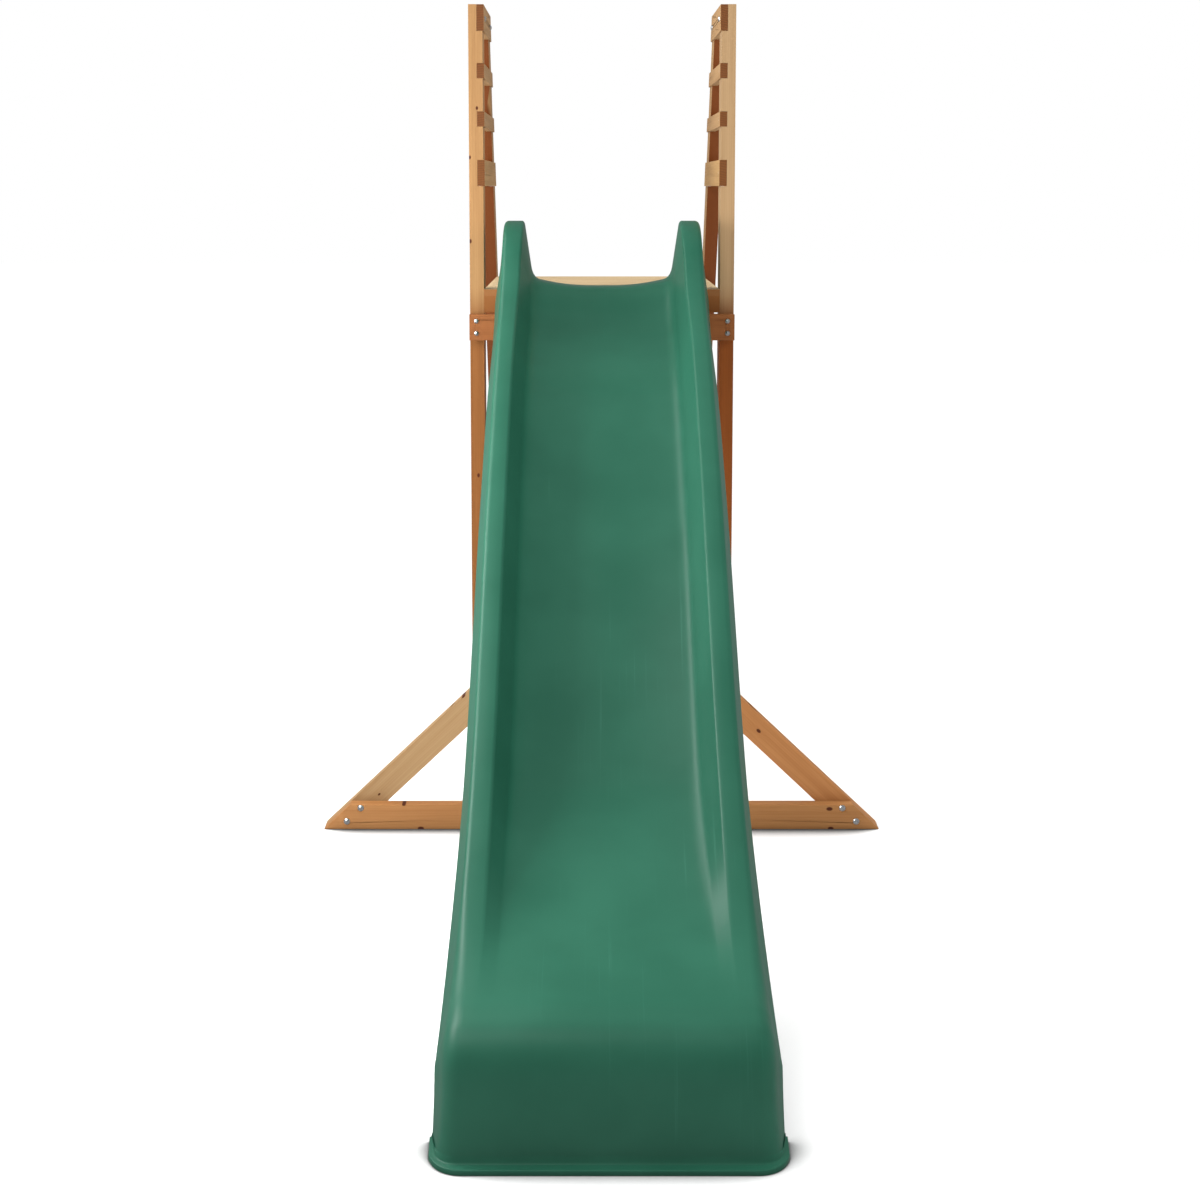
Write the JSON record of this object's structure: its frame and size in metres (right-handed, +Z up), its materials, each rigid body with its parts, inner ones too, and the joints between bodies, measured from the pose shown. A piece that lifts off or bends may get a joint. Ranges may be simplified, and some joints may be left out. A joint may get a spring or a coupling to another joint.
{
  "type": "wave slide",
  "caption": "Timber climbing frame with a ladder at the back, a small deck and a moulded plastic wave slide running down from it.",
  "frame": {"origin": "centre of the footprint on the ground", "axes": "+Z up, -Y the way the slide runs out, +Y the ladder side, +X to the right of someone who looks at the slide's exit from in front"},
  "size_m": [1.546, 3.7478, 2.26],
  "materials": {
    "timber_frame": "planed and stained softwood, satin, with knots and darker end grain",
    "timber_boards": "planed and stained softwood boards, satin",
    "chute_plastic": "moulded polyethylene, semi-gloss, coloured right through",
    "fasteners": "zinc-plated steel"
  },
  "bodies": {
    "root": {"slide_chute": "chute_plastic", "front_post_left": "timber_frame", "front_post_right": "timber_frame", "rear_leg_left": "timber_frame", "rear_leg_right": "timber_frame", "front_cross_beam": "timber_frame", "rear_cross_beam": "timber_frame", "deck_bearer_left": "timber_frame", "deck_bearer_right": "timber_frame", "ground_beam": "timber_frame", "ground_brace_left": "timber_frame", "ground_brace_right": "timber_frame", "top_board_left": "timber_boards", "top_board_right": "timber_boards", "upper_slat_left": "timber_boards", "upper_slat_right": "timber_boards", "lower_slat_left": "timber_boards", "lower_slat_right": "timber_boards", "guard_board_left": "timber_boards", "guard_board_right": "timber_boards", "deck_board_1": "timber_boards", "deck_board_2": "timber_boards", "deck_board_3": "timber_boards", "deck_board_4": "timber_boards", "deck_board_5": "timber_boards", "deck_board_6": "timber_boards", "deck_board_7": "timber_boards", "deck_board_8": "timber_boards", "ladder_tread_1": "timber_boards", "ladder_tread_2": "timber_boards", "ladder_tread_3": "timber_boards", "ladder_tread_4": "timber_boards", "ladder_tread_5": "timber_boards", "ground_beam_bolts": "fasteners", "cross_beam_screws": "fasteners", "top_board_bolts": "fasteners", "bearer_bolts": "fasteners", "recessed_nuts": "fasteners", "recessed_washers": "fasteners", "guard_screws": "fasteners", "deck_screws": "fasteners", "tread_screws": "fasteners", "rear_beam_screws": "fasteners", "brace_screws": "fasteners", "slide_screws": "fasteners"}
  },
  "joints": []
}
